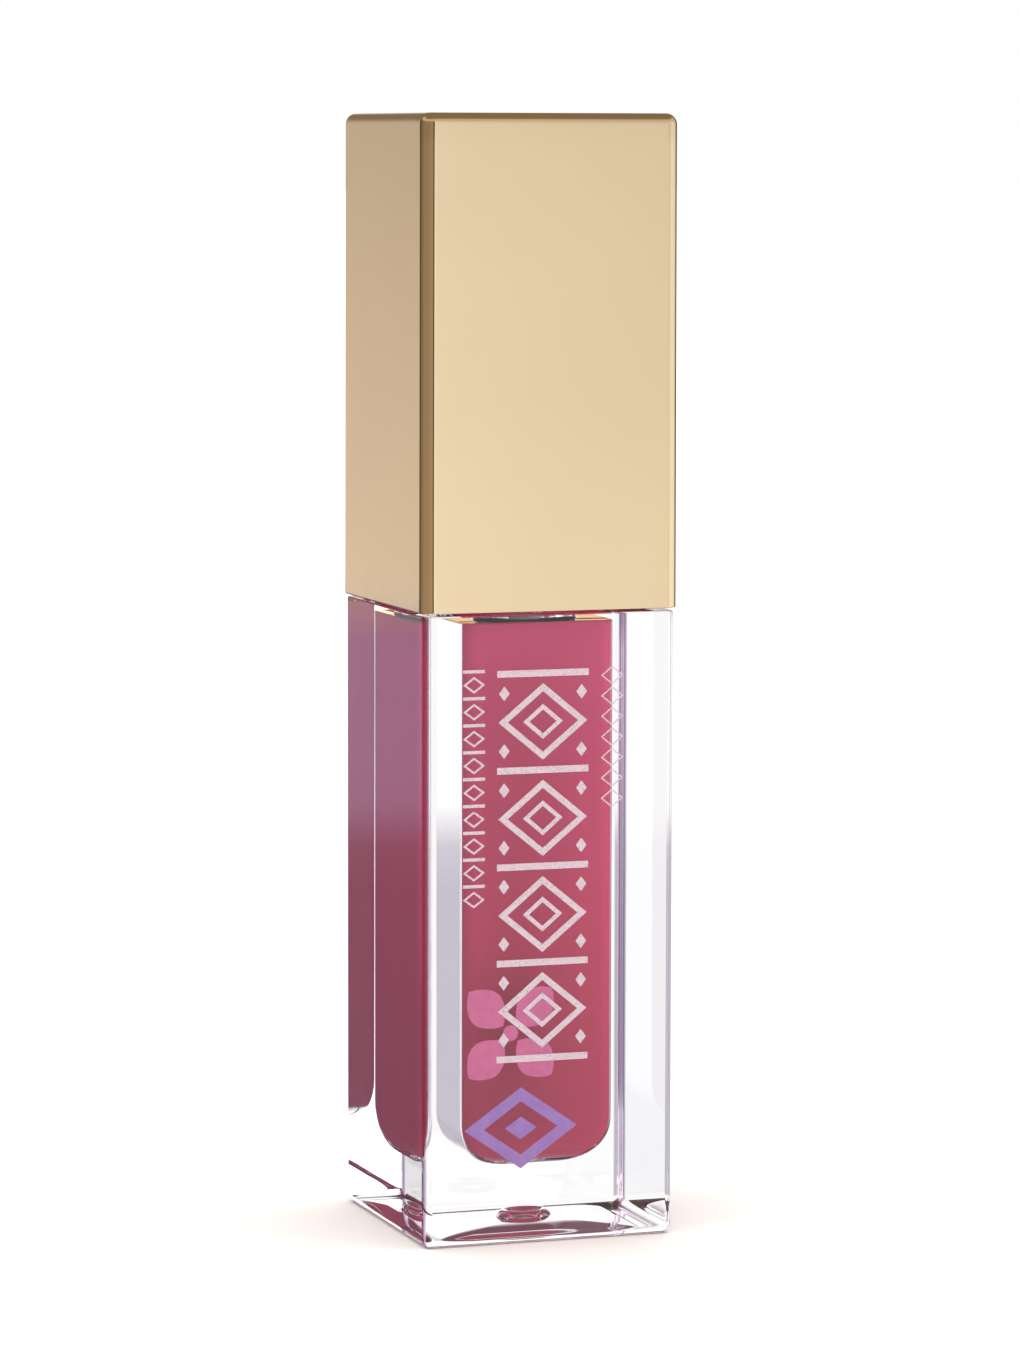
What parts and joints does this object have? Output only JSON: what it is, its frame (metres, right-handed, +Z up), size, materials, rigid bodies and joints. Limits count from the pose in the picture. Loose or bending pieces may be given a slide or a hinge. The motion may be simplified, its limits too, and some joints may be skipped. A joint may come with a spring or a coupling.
{
  "type": "lip gloss tube",
  "caption": "Square clear lip gloss bottle filled with pink gloss, with a tall square gold screw cap that carries a doe-foot wand.",
  "frame": {"origin": "middle of the underside of the bottle, on the surface it stands on", "axes": "+Z up along the tube and its screw thread, -Y is the decorated front, +X is to the right seen from the front"},
  "size_m": [0.02, 0.02, 0.0837],
  "materials": {
    "clear_plastic": "polished, crystal clear thick wall",
    "pink_gloss": "opaque creamy liquid, wet",
    "gold_plating": "champagne gold metallised plastic, semi-gloss mirror",
    "gold_plastic": "moulded gold-coloured plastic, satin",
    "white_plastic": "moulded polypropylene",
    "natural_plastic": "soft natural polyethylene",
    "washer_foam": "fine closed-cell foam",
    "flock_fibre": "short nylon flock"
  },
  "bodies": {
    "bottle": {"bottle": "clear_plastic", "gloss_fill": "pink_gloss"},
    "wiper": {"wiper": "natural_plastic"},
    "washer": {"seal_washer": "washer_foam"},
    "cap": {"cap_shell": "gold_plating", "cap_insert": "gold_plastic", "wand_rod": "white_plastic", "applicator_core": "natural_plastic", "applicator_flock": "flock_fibre"}
  },
  "joints": [
    {"name": "cap_turn", "type": "hinge", "parent": "bottle", "child": "wiper", "pos_m": [0, 0, 0.05], "axis": [0, 0, 1], "range_deg": [0, 495]},
    {"name": "cap_pull", "type": "slide", "parent": "wiper", "child": "washer", "axis": [0, 0, 1], "range_m": [0, 0.056]},
    {"name": "cap_rise", "type": "slide", "parent": "washer", "child": "cap", "axis": [0, 0, 1], "range_m": [0, 0.0035]}
  ],
  "couplings": [
    {"joint": "cap_rise", "follows": "cap_turn", "m_per_rad": 0.00039789}
  ]
}
